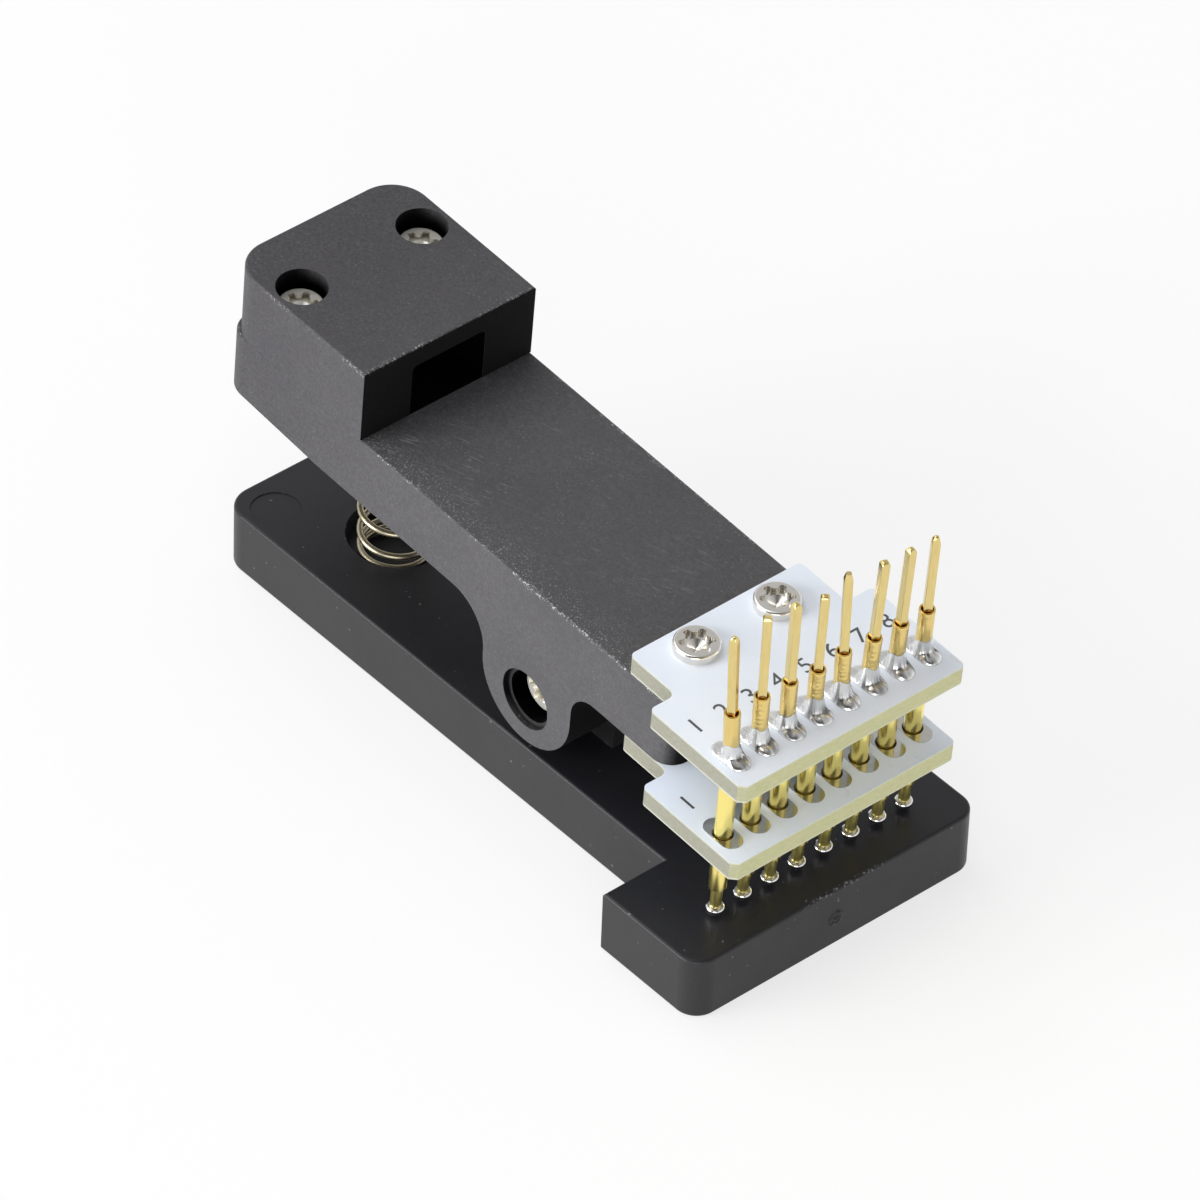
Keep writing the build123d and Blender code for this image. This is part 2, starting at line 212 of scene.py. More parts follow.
class Graph(Nodes):
    """The nodes of one material."""

    def __init__(self, name):
        self.material = bpy.data.materials.new(name)
        self.material.use_nodes = True
        super().__init__(self.material.node_tree)
        self.shader = self.new("BsdfPrincipled")
        self.output = self.new("OutputMaterial", Surface=self.shader.outputs[0])

    def set(self, name, value):
        self.put(self.shader.inputs[name], value)

    def place(self, scale=(1, 1, 1), offset=(0, 0, 0)):
        """Position in millimetres, in the clip's coordinates at rest, stretched and shifted."""
        fineness = [value * to_mm for value in scale]
        source = self.coordinates("Object")
        return self.new("Mapping", Vector=source, Location=offset, Scale=fineness).outputs[0]

    def along(self, direction, origin=(0, 0, 0)):
        """Distance in millimetres from a plane through a point, along a direction."""
        less = self.new("VectorMath")
        less.operation = "SUBTRACT"
        self.fill(less.inputs, (self.coordinates("Object"), origin))
        return self.dot(less.outputs[0], [value * to_mm for value in direction])

    def facing(self, direction):
        """How far the surface faces a direction, from -1 to 1, in the piece's own coordinates."""
        return self.dot(self.coordinates("Normal"), direction)

    def noise(self, vector, scale, detail=2.0, rough=0.5, twist=0.0):
        node = self.new("TexNoise", Vector=vector, Scale=scale, Detail=detail, Roughness=rough,
                        Distortion=twist)
        return node.outputs["Fac"]

    def vary(self, noise, start, end):
        """The usual range of a noise, turned into the range from start to end."""
        return self.span(noise, 0.3, 0.7, start, end)

    def patches(self, vector, scale, low, high, detail=2.0, rough=0.5, twist=0.0):
        """1 where a noise is above high, and 0 where it is below low."""
        return self.span(self.noise(vector, scale, detail, rough, twist), low, high)

    def blend(self, factor, first, second):
        """A colour between two, as sockets or as shares of red, green and blue."""
        node = self.new("Mix")
        node.data_type = "RGBA"
        self.put(node.inputs["Factor"], factor)
        for name, value in (("A", first), ("B", second)):
            if not isinstance(value, bpy.types.NodeSocket):
                value = (*value, 1.0)
            sockets = (item for item in node.inputs if item.name == name and item.type == "RGBA")
            self.put(next(sockets), value)
        return next(item for item in node.outputs if item.type == "RGBA")

    def cover(self, colour, mask, over, share):
        """A colour with another over it, to a share where a mask is 1."""
        return self.blend(self.product(mask, share), colour, over)

    def bump(self, height, distance, strength, normal=None):
        """Bumps of a height from 0 to 1 times a distance in millimetres."""
        node = self.new("Bump", Height=height, Distance=distance * mm, Strength=strength)
        if normal:
            self.put(node.inputs["Normal"], normal)
        return node.outputs[0]

    def edges(self, radius):
        """1 on outer edges, within about a radius in millimetres, and 0 on flat faces."""
        bevel = self.new("Bevel", Radius=radius * mm)
        bevel.samples = 4
        flatness = self.dot(bevel.outputs[0], self.new("NewGeometry").outputs["Normal"])
        return self.span(flatness, 0.985, 0.90)

    def cavity(self, reach):
        """1 in the open and towards 0 in hollows narrower than a reach in millimetres."""
        node = self.new("AmbientOcclusion", Distance=reach * mm)
        node.samples = 12
        return node.outputs["AO"]


# Plastics. Colours are shares of red, green and blue light, and tones are the two colours that
# a noise varies between.

unlit_black = (0.001, 0.001, 0.001)
lever_tones = ((0.037, 0.037, 0.041), (0.090, 0.088, 0.095))
lever_pale = (0.145, 0.145, 0.152)
lever_brown = (0.062, 0.050, 0.050)
lever_blue = (0.040, 0.040, 0.047)
dust_grey = (0.32, 0.32, 0.31)
scratch_grey = (0.26, 0.26, 0.26)
dot_grey = (0.40, 0.40, 0.38)
chip_grey = (0.50, 0.50, 0.49)
shaded_top_tones = ((0.009, 0.009, 0.012), (0.016, 0.016, 0.020))
lit_side_tones = ((0.012, 0.012, 0.014), (0.028, 0.027, 0.028))
nick_grey = (0.36, 0.36, 0.36)
edge_highlight_grey = (0.30, 0.30, 0.30)
fleck_grey = (0.22, 0.22, 0.22)

# Scratches on the lever's top run along one direction, and are finer along the other
scratch_way = (0.93, 0.37, 0)
scratch_side = (-0.37, 0.93, 0)
scratch_fineness = (0.5, 3.6)

# The lever's grain grows paler between these places ahead of the hinge
pale_range = (-30.0, -12.0)

# Light dots lie along the lever's left edge, up to here
dots_end = -4.6

# How far a mask reaches past the faces that it covers, and stops short of those that it doesn't
skin = 0.05
gap = 0.02

# A painted highlight lies on the base's front top edge about this place, fully and then less
highlight_middle = 0.5
highlight_reach = (1.5, 4.5)

# Painted shade: light that the hinge screws' mouths and bores lose, and the channel and the
# cap's front keep
mouth_loss = 0.6
bore_loss = 0.95
channel_light = 0.04
front_light = 0.06


def about_hinge(graph):
    """Distances in millimetres ahead of the hinge, off the lever's middle and above the hinge."""
    ahead = graph.along(lever_forward, pivot)
    off_middle = graph.off(graph.along(lever_across, pivot))
    return ahead, off_middle, graph.along(lever_up, pivot)


def worn_lines(graph):
    """Nearness in millimetres to the lever's long top edges and to the cap's top and front edges."""
    ahead, off_middle, height = about_hinge(graph)
    out_of_reach = 3.0
    spared = 0.22
    # The lever's edges count ahead of the cap only, and the cap's sides are spared a little
    from_side = graph.off(off_middle, lever_half_width)
    from_lever_top = graph.off(height, lever_top)
    behind_front = graph.span(ahead, cap_front - 0.3, cap_front + 0.1, out_of_reach, 0.0)
    lever_edge = graph.math("ADD", graph.math("MAXIMUM", from_lever_top, from_side), behind_front)
    from_cap_side = graph.math("ADD", from_side, spared)
    from_outline = graph.math("MINIMUM", from_cap_side, graph.off(ahead, cap_front))
    cap_edge = graph.math("MAXIMUM", graph.off(height, cap_top), from_outline)
    return graph.math("MINIMUM", lever_edge, cap_edge)


def in_channel(graph):
    """Mask of painted shade: 1 on the walls of the cable channel between cap and lever, 0 elsewhere.
    """
    ahead, off_middle, height = about_hinge(graph)
    behind_front = graph.math("LESS_THAN", ahead, cap_front - gap)
    narrow = graph.math("LESS_THAN", off_middle, channel_mask_half_width + skin)
    below = graph.math("LESS_THAN", height, lever_top + channel_mask_height + skin)
    above = graph.math("GREATER_THAN", height, lever_top - skin)
    return graph.product(behind_front, narrow, below, above)


def hinge_bore_lit_share(graph):
    """Light left by painted shade: 1 outside the hinge screws' counterbores, less in their mouths
    and almost 0 in their bores.
    """
    ahead, off_middle, height = about_hinge(graph)
    mouth_floor = lever_half_width - hinge_mouth_depth
    near_axis = graph.math("LESS_THAN", graph.radius(height, ahead), hinge_mouth_radius + skin)
    sunk = graph.math("LESS_THAN", off_middle, lever_half_width - 0.03)
    covered = graph.span(off_middle, mouth_floor - 0.08, mouth_floor - gap, bore_loss, mouth_loss)
    return graph.math("SUBTRACT", 1.0, graph.product(near_axis, sunk, covered))


def lever_marks(graph, where, colour):
    """A colour with dust, with scratches and dots on the lever's top, and with chipped edges."""
    dusty = graph.patches(where, 0.30, 0.42, 0.60, detail=3.0, rough=0.65)
    dust = graph.product(graph.patches(where, 5.0, 0.64, 0.72, detail=1.0), dusty)
    colour = graph.cover(colour, dust, dust_grey, share=0.22)
    below_cap = graph.math("LESS_THAN", graph.along(lever_up, pivot), lever_top + 0.5)
    on_top = graph.product(graph.span(graph.facing(lever_up), 0.6, 0.9), below_cap)
    places = zip((graph.along(scratch_way), graph.along(scratch_side)), scratch_fineness)
    streaks = graph.vector(*(graph.product(place, fineness) for place, fineness in places), 0.0)
    streaks = graph.patches(streaks, 1.0, 0.60, 0.72, twist=0.8)
    scuffed = graph.patches(graph.place(offset=(3.0, 1.0, 0)), 0.14, 0.50, 0.62)
    scratches = graph.product(streaks, scuffed, on_top)
    colour = graph.cover(colour, scratches, scratch_grey, share=0.42)
    near_left = graph.fade(graph.along(lever_across), -lever_half_width, dots_end)
    dots = graph.product(graph.patches(where, 6.5, 0.61, 0.68, detail=1.0), near_left, on_top)
    colour = graph.cover(colour, dots, dot_grey, share=0.5)
    uneven = graph.noise(where, 0.22, detail=2.0, rough=0.6)
    wear_reach = graph.span(uneven, 0.38, 0.62, start=0.05, end=0.42)
    near_edge = graph.fade(graph.math("DIVIDE", worn_lines(graph), wear_reach), 0.4, 1.0)
    chips = graph.product(near_edge, graph.patches(where, 5.5, 0.56, 0.63, rough=0.75))
    return graph.cover(colour, chips, chip_grey, share=0.85)


def lever_plastic():
    """Black moulded plastic with a fine grain, with painted shade: darker at the cap's front and
    almost unlit in hollows.
    """
    graph = Graph("lever_plastic")
    where = graph.place()
    grain = graph.noise(where, 4.6, detail=3.0, rough=0.8)
    cloud = graph.noise(where, 0.16, detail=3.0, rough=0.6)
    colour = graph.blend(graph.span(grain, 0.36, 0.66), *lever_tones)
    paler = graph.span(graph.along(lever_forward, pivot), *pale_range, end=0.24)
    colour = graph.blend(paler, colour, lever_pale)
    browner = graph.span(graph.noise(where, 2.2, detail=3.0, rough=0.7), 0.42, 0.66, end=0.40)
    colour = graph.blend(browner, colour, lever_brown)
    colour = graph.blend(graph.vary(cloud, 0.0, 0.30), colour, lever_blue)
    colour = lever_marks(graph, where, colour)
    # Painted shade: towards black in hollows, the cable channel, the hinge bores and the cap's front
    open_air_lit_share = graph.span(graph.cavity(4.0), 0.28, 0.62)
    outside = graph.span(in_channel(graph), 0.0, 1.0, start=1.0, end=channel_light)
    reached = graph.product(open_air_lit_share, outside, hinge_bore_lit_share(graph))
    turned = graph.span(graph.facing(lever_forward), 0.5, 0.9, start=1.0, end=front_light)
    lit = graph.product(reached, turned)
    graph.set("Base Color", graph.blend(lit, unlit_black, colour))
    # Painted shade: a metal as black as this reflects almost nothing, so unlit places stay dark
    hollow_painted_shade = graph.fade(reached, 0.05, 0.35)
    front = graph.span(turned, front_light, 1.0, start=0.5, end=0.0)
    graph.set("Metallic", graph.math("MAXIMUM", hollow_painted_shade, front))
    rough = graph.span(grain, 0.25, 0.75, start=0.48, end=0.66)
    dull = graph.span(lit, front_light, 0.5, start=0.9, end=0.0)
    graph.set("Roughness", graph.math("MAXIMUM", rough, dull))
    graph.set("Specular IOR Level", 0.28)
    fine = graph.bump(grain, 0.030, strength=0.8)
    graph.set("Normal", graph.bump(cloud, 0.12, strength=0.6, normal=fine))
    return graph.material


def base_plastic():
    """Black moulded plastic, smoother than the lever's, with nicks on its edges, painted shade on
    its tops and a painted highlight at the front.
    """
    graph = Graph("base_plastic")
    where = graph.place()
    grain = graph.noise(where, 6.0, detail=3.0, rough=0.6)
    cloud = graph.noise(where, 0.12, detail=3.0, rough=0.6)
    # Painted light and shade: the tops are darker than the sides
    side = graph.fade(graph.off(graph.facing((0, 0, 1))), 0.55, 0.85)
    shaded_top = graph.blend(grain, *shaded_top_tones)
    lit_side = graph.blend(grain, *lit_side_tones)
    colour = graph.blend(side, shaded_top, lit_side)
    nicks = graph.patches(where, 2.4, 0.60, 0.68, detail=3.0, rough=0.7)
    nicks = graph.product(graph.edges(0.16), nicks)
    colour = graph.cover(colour, nicks, nick_grey, share=0.75)
    # Painted highlight: pale patches along the base's front top edge
    from_top = graph.off(graph.along((0, 0, 1), (0, 0, base_top * mm)))
    from_front = graph.off(graph.along((1, 0, 0), (base_front * mm, 0, 0)))
    near_edge = graph.fade(graph.math("MAXIMUM", from_top, from_front), 0.10, 0.34)
    from_middle = graph.off(graph.along((0, 1, 0), (0, highlight_middle * mm, 0)))
    near_middle = graph.fade(from_middle, *highlight_reach)
    edge_highlight = graph.product(near_edge, near_middle, graph.patches(where, 4.5, 0.53, 0.60, rough=0.7))
    colour = graph.cover(colour, edge_highlight, edge_highlight_grey, share=0.7)
    fleck = graph.patches(where, 1.9, 0.76, 0.79, detail=1.0, rough=0.4)
    colour = graph.cover(colour, fleck, fleck_grey, share=0.4)
    graph.set("Base Color", colour)
    graph.set("Roughness", graph.vary(cloud, 0.34, 0.46))
    graph.set("Specular IOR Level", 0.32)
    fine = graph.bump(grain, 0.008, strength=0.6)
    graph.set("Normal", graph.bump(cloud, 0.10, strength=0.5, normal=fine))
    return graph.material


# Metals

steel_tones = ((0.54, 0.49, 0.36), (0.34, 0.30, 0.21))
screw_tones = ((0.84, 0.82, 0.78), (0.74, 0.71, 0.66))
# Painted light: the screws sunk in bores are a paler nickel, against the shade there
lit_sunk_tones = ((1.00, 0.98, 0.92), (0.95, 0.92, 0.84))
# Painted shade in the hollows of the screws sunk in bores
hinge_screw_painted_shade = (0.50, 0.46, 0.34)
cap_screw_painted_shade = (0.40, 0.37, 0.28)
tin_tones = ((0.72, 0.71, 0.66), (0.58, 0.57, 0.52))
gold_tones = ((0.81, 0.66, 0.29), (0.71, 0.55, 0.22))
gold_spot = (0.72, 0.50, 0.19)
# Painted shade in the hollows of gold plating
gold_painted_shade = (0.55, 0.27, 0.08)
lit_lower_tube_tones = ((1.00, 0.86, 0.30), (0.97, 0.79, 0.24))
upper_tube_tones = ((0.85, 0.66, 0.27), (0.76, 0.55, 0.18))
tube_silver = (0.74, 0.73, 0.70)
# Painted shade in the tubes' hollows
tube_painted_shade = (0.50, 0.25, 0.08)
shaft_tones = ((1.00, 0.88, 0.30), (0.94, 0.80, 0.24))
head_tones = ((0.90, 0.88, 0.86), (0.72, 0.70, 0.68))
solder_tones = ((0.84, 0.84, 0.84), (0.72, 0.72, 0.71))
solder_crease_shade = (0.26, 0.26, 0.26)
solder_fleck_shade = (0.08, 0.08, 0.08)

# Draw marks are longer than wide
drawn = (2.2, 2.2, 0.3)

# Heights above the upper board up to which solder has silvered the tubes, fully and at most
silver_climb = (1.25, 1.55)

# How fine the solder's streaks are round a tube, along the board and away from the tube
streak_fineness = (2.8, 0.4, 0.5)


def metal(name, tones, roughness, ripple=0.004, scale=3.0, metallic=1.0, hollow_painted_shade=None):
    """A bright metal with faint handling marks, and painted shade of another colour in its hollows,
    if given.
    """
    graph = Graph(name)
    marks = graph.noise(graph.place(), scale, detail=3.0, rough=0.6)
    colour = graph.blend(marks, *tones)
    if hollow_painted_shade:
        # Painted shade: hollows take the other colour
        colour = graph.blend(graph.span(graph.cavity(0.6), 0.80, 0.45), colour, hollow_painted_shade)
    graph.set("Base Color", colour)
    graph.set("Metallic", metallic)
    graph.set("Roughness", graph.vary(marks, *roughness))
    graph.set("Normal", graph.bump(marks, ripple, strength=0.7))
    return graph.material


def plate(graph, marks, colour, hollow_painted_shade, reach, ripple):
    """Bright gold plating of a colour, with painted shade of another colour in hollows narrower than
    a reach.
    """
    colour = graph.blend(graph.span(graph.cavity(reach), 0.62, 0.20), colour, hollow_painted_shade)
    graph.set("Base Color", colour)
    graph.set("Metallic", 1.0)
    graph.set("Roughness", graph.vary(marks, 0.18, 0.24))
    graph.set("Normal", graph.bump(marks, ripple, strength=0.6))
    return graph.material


def gold_plate():
    """Bright gold plating with faint lengthwise draw marks and painted brownish shade in hollows."""
    graph = Graph("gold_plate")
    marks = graph.noise(graph.place(drawn), 2.0)
    spots = graph.noise(graph.place(), 1.3)
    colour = graph.blend(marks, *gold_tones)
    colour = graph.blend(graph.span(spots, 0.62, 0.74, end=0.25), colour, gold_spot)
    return plate(graph, marks, colour, gold_painted_shade, reach=0.35, ripple=0.0012)


def tube_gold():
    """Gold plating, paler below the upper board as painted light in its shade, and silvery where
    solder has run up the tubes above the upper board.
    """
    graph = Graph("tube_gold")
    marks = graph.noise(graph.place(drawn), 2.0)
    height = graph.along(lever_up, on_lever(pin_forward, 0, upper_board_top))
    # Painted light: the tubes are a paler gold below the upper board, where it shades them
    below = graph.blend(marks, *lit_lower_tube_tones)
    above = graph.blend(marks, *upper_tube_tones)
    colour = graph.blend(graph.span(height, -1.0, 0.0), below, above)
    jagged = graph.vary(graph.noise(graph.place(), 2.6, detail=2.0, rough=0.7), -0.3, 0.3)
    full, most = silver_climb
    climb = graph.span(graph.math("ADD", height, jagged), most, full)
    silver = graph.product(graph.span(height, -0.1, 0.0), climb)
    colour = graph.cover(colour, silver, tube_silver, share=0.8)
    return plate(graph, marks, colour, tube_painted_shade, reach=0.3, ripple=0.0008)


def plunger_metal():
    """A gold plated shaft above a bright nickel plated head."""
    graph = Graph("plunger_metal")
    marks = graph.noise(graph.place(), 3.0, detail=3.0, rough=0.6)
    shaft = graph.blend(marks, *shaft_tones)
    head = graph.blend(marks, *head_tones)
    height = graph.along(lever_up, pivot)
    share = graph.span(height, plunger_head_top, plunger_head_top + 0.12)
    duller = graph.product(share, 0.2)
    graph.set("Base Color", graph.blend(share, head, shaft))
    graph.set("Metallic", 1.0)
    graph.set("Roughness", graph.math("ADD", graph.vary(marks, 0.08, 0.16), duller))
    graph.set("Normal", graph.bump(marks, 0.004, strength=0.6))
    return graph.material


def solder_metal():
    """Bright solder with light and dark streaks out from each tube; the dark streaks and flecks are
    painted shade of its creases.
    """
    graph = Graph("solder")
    wrinkle = graph.noise(graph.place(), 2.6, detail=3.0, rough=0.55, twist=0.8)
    # Places round the nearest tube, which repeat at the pins' pitch
    forward = graph.along(lever_forward, on_lever(pin_forward, 0, 0))
    across = graph.along(lever_across)
    aside = graph.math("SUBTRACT", graph.math("WRAP", across, pin_pitch, 0.0), pin_pitch / 2)
    turn = graph.math("ARCTAN2", aside, forward)
    away = graph.radius(aside, forward)
    places = zip((turn, across, away), streak_fineness)
    fan = graph.vector(*(graph.product(place, fineness) for place, fineness in places))
    ray = graph.noise(fan, 1.0, detail=2.0, rough=0.6)
    front = graph.product(graph.span(forward, -0.1, 0.6), graph.span(away, 0.68, 0.86))
    colour = graph.blend(wrinkle, *solder_tones)
    # Painted shade: dark streaks and a dark fleck in front of the tube stand for shade in creases
    crease_shade = graph.product(graph.span(ray, 0.50, 0.62), front)
    colour = graph.cover(colour, crease_shade, solder_crease_shade, share=0.7)
    fleck = graph.product(graph.span(ray, 0.46, 0.54), front, graph.span(away, 1.25, 0.85))
    colour = graph.cover(colour, fleck, solder_fleck_shade, share=0.8)
    graph.set("Base Color", colour)
    graph.set("Metallic", 1.0)
    graph.set("Roughness", graph.vary(ray, 0.18, 0.34))
    fine = graph.bump(wrinkle, 0.006, strength=0.8)
    graph.set("Normal", graph.bump(ray, 0.05, strength=0.9, normal=fine))
    return graph.material


# Boards

upper_mask_tones = ((0.76, 0.82, 0.92), (0.82, 0.87, 0.95))
# Painted light: the lower board's mask is paler and bluer than the upper's, where that shades it
lit_lower_mask_tones = ((0.78, 0.85, 0.99), (0.82, 0.89, 1.00))
front_cut_painted_tones = ((0.50, 0.50, 0.25), (0.62, 0.61, 0.36))
side_cut_painted_tones = ((0.20, 0.20, 0.155), (0.30, 0.295, 0.24))
flux_brown = (0.62, 0.60, 0.54)
rim_white = (0.66, 0.68, 0.60)
ink_tones = ((0.045, 0.048, 0.055), (0.09, 0.095, 0.105))


def board_laminate(name, floor, mask_tones):
    """White solder mask on both faces, and cut glass fibre laminate at the edges, coloured by which
    way an edge faces as painted light and shade.
    """
    graph = Graph(name)
    where = graph.place()
    mask = graph.blend(graph.noise(where, 0.35, detail=3.0, rough=0.6), *mask_tones)
    smear = graph.patches(where, 0.9, 0.62, 0.72, detail=3.0, rough=0.6)
    ahead = graph.span(graph.along(lever_forward, on_lever(pin_forward, 0, 0)), 0.9, 1.6)
    mask = graph.cover(mask, graph.product(smear, ahead), flux_brown, share=0.35)
    from_middle = graph.off(graph.along(lever_up, on_lever(0, 0, floor)), board_thickness / 2)
    rim = graph.span(from_middle, 0.60, 0.72, smooth=True)
    weave = graph.patches(graph.place((1.0, 1.0, 5.0)), 2.4, 0.32, 0.68, detail=3.0, rough=0.7)
    # Painted light and shade: the cut edges at the sides and at the front get different colours
    side = graph.span(graph.off(graph.facing(lever_across)), 0.5, 0.9)
    front_cut_painted = graph.blend(weave, *front_cut_painted_tones)
    cut = graph.blend(side, front_cut_painted, graph.blend(weave, *side_cut_painted_tones))
    cut = graph.cover(cut, rim, rim_white, share=0.5)
    face = graph.span(graph.off(graph.facing(lever_up)), 0.55, 0.75)
    graph.set("Base Color", graph.blend(face, cut, mask))
    graph.set("Roughness", graph.span(face, 0.0, 1.0, start=0.55, end=0.34))
    graph.set("Specular IOR Level", 0.40)
    ripple = graph.noise(where, 2.0, detail=3.0, rough=0.6)
    graph.set("Normal", graph.bump(ripple, 0.010, strength=0.5))
    return graph.material


def marking_ink():
    graph = Graph("marking_ink")
    edge = graph.noise(graph.place(), 12.0, detail=2.0, rough=0.6)
    graph.set("Base Color", graph.blend(edge, *ink_tones))
    graph.set("Roughness", graph.vary(edge, 0.45, 0.6))
    return graph.material


def dress_cad_nodes(looks):
    for name, material in looks.items():
        data = frame["nodes"][name].data
        data.materials.clear()
        data.materials.append(material)


steel = metal("spring_steel", steel_tones, (0.28, 0.40), scale=4.0)
nickel = metal("screw_nickel", screw_tones, (0.14, 0.22), ripple=0.001, scale=2.0)
# Painted light: the sunk screws' nickel is paler and less metallic, against the shade in their bores
hinge_nickel = metal("sunk_screw_nickel", lit_sunk_tones, (0.16, 0.24), ripple=0.001,
                     scale=2.0, metallic=0.6, hollow_painted_shade=hinge_screw_painted_shade)
cap_nickel = metal("cap_screw_nickel", lit_sunk_tones, (0.16, 0.24), ripple=0.001,
                   scale=2.0, metallic=0.4, hollow_painted_shade=cap_screw_painted_shade)
tin = metal("tinned_pad", tin_tones, (0.08, 0.18), scale=1.6)
gold = gold_plate()
tubes_gold = tube_gold()
plunger_look = plunger_metal()
solder = solder_metal()
marking = marking_ink()
black_lever = lever_plastic()
black_base = base_plastic()
upper_laminate = board_laminate("upper_laminate", upper_board_top - board_thickness,
                                upper_mask_tones)
lower_laminate = board_laminate("lower_laminate", lower_board_floor, lit_lower_mask_tones)
dress_cad_nodes({
    "base_plate": black_base,
    "lever_arm": black_lever,
    "cable_cap": black_lever,
    "upper_board": upper_laminate,
    "lower_board": lower_laminate,
    "upper_board_pads": tin,
    "lower_board_pads": tin,
    "hinge_screws": hinge_nickel,
    "cap_screws": cap_nickel,
    "upper_board_screws": nickel,
    "lower_board_screws": nickel,
    "return_spring": steel,
    "solder_joints": solder,
    "receptacle_tubes": tubes_gold,
    "wire_wrap_tails": gold,
    "probe_barrels": gold,
})
for number in range(1, pin_count + 1):
    dress_cad_nodes({f"plunger_{number}": plunger_look, f"probe_spring_{number}": steel})


# Meshes

def loft(name, rings, closed=False):
    """A surface over rings of as many points each. Its ends are capped, unless they meet."""
    count = len(rings[0])
    faces = []
    for row in range(len(rings) if closed else len(rings) - 1):
        here = row * count
        there = (row + 1) % len(rings) * count
        for step in range(count):
            after = (step + 1) % count
            faces.append((here + step, here + after, there + after, there + step))
    if not closed:
        last = (len(rings) - 1) * count
        faces.append(tuple(reversed(range(count))))
        faces.append(tuple(range(last, last + count)))
    data = bpy.data.meshes.new(name)
    data.from_pydata([point for ring in rings for point in ring], [], faces)
    return data


def piece(name, data, material, sharp):
    """An object of a mesh, with its faces turned outwards and shaded smooth up to an angle."""
    shape = bmesh.new()
    shape.from_mesh(data)
    bmesh.ops.recalc_face_normals(shape, faces=shape.faces)
    shape.to_mesh(data)
    shape.free()
    data.shade_smooth()
    data.set_sharp_from_angle(angle=math.radians(sharp))
    data.materials.append(material)
    made = bpy.data.objects.new(name, data)
    bpy.context.scene.collection.objects.link(made)
    return made


def circle(count):
    return [2 * math.pi * step / count for step in range(count)]


def rise(value, low, high):
    """0 below low, 1 above high and smooth between."""
    share = min(max((value - low) / (high - low), 0.0), 1.0)
    return share * share * (3 - 2 * share)


def steps(low, high, spacing):
    """Even steps over a range, both ends included."""
    count = max(1, math.ceil((high - low) / spacing))
    return [low + (high - low) * step / count for step in range(count + 1)]


# Receptacle tubes, with heights from the upper board's top

tube_corners = 56
tube_crease = 32.0
upper_board_floor = -board_thickness
lower_board_top = lower_board_floor + board_thickness - upper_board_top
foot_round = 0.05
shoulder = 0.02
plain_start = 0.4
plain_spacing = 0.6
waist_spacing = 0.10
neck_spacing = 0.09
rim_height = 0.45
crimp_length = 0.3

# A tube's rim as (height from its top, radius beyond the neck's), and its mouth as (depth below
# its top, radius)
rim_outline = ((-0.38, 0.012), (-0.05, 0.012), (-0.015, 0.0), (0.0, -0.02))
mouth_outline = ((0.01, mouth_radius + 0.02), (0.04, mouth_radius), (mouth_depth, crimp_radius))

# Tubes with flats round them, by how far the flats are cut
facet_count = 9
facet_shares = {2: 0.55, 6: 0.45}

# Pressed marks as (heading from the view, height, width, tallness), and how deep they are.
# The groove round a mark's outline is full up to one distance from it and gone at the other.
neck_mark_depth = 0.025
waist_mark_depth = 0.06
groove_full = 0.02
groove_end = 0.13
neck_marks = {
    1: [(-0.10, 3.10, 0.40, 0.42), (-0.12, 2.25, 0.40, 0.42)],
    3: [(0.10, 3.20, 0.40, 0.40), (0.05, 2.45, 0.44, 0.42)],
    4: [(0.05, 3.20, 0.44, 0.40), (0.02, 2.50, 0.44, 0.42)],
    5: [(0.00, 3.00, 0.40, 0.44), (0.08, 2.10, 0.40, 0.42)],
}
waist_marks = {index: [(-0.30, -3.2 - 0.10 * index, 0.30, 1.3)] for index in range(1, pin_count)}


def press(angle, height, marks, depth):
    """How deep a tube is pressed in at a place."""
    pressed = 0.0
    for heading, middle, width, tall in marks:
        aside = abs(math.remainder(angle - view_heading - heading, 2 * math.pi)) * neck_radius
        out = max(aside - width / 2, abs(height - middle) - tall / 2)
        pressed = max(pressed, depth * (1 - rise(abs(out), groove_full, groove_end)))
    return pressed


def tube_ring(index, lean, height, radius, marks=(), depth=0.0, flare=0.0):
    """One ring of a tube, which leans above the upper board only."""
    facets = facet_shares.get(index, 0.0)
    half = math.pi / facet_count
    points = []
    for angle in circle(tube_corners):
        flat = math.cos(half) / math.cos(math.fmod(angle, 2 * half) - half)
        reach = radius * (1 - facets * (1 - flat)) - press(angle, height, marks, depth) + flare
        offset = Vector((reach * math.cos(angle), reach * math.sin(angle), height))
        if height > 0:
            offset = lean @ offset
        else:
            offset += Vector((pin_forward, pin_places[index], upper_board_top))
        points.append(on_lever(*offset))
    return points


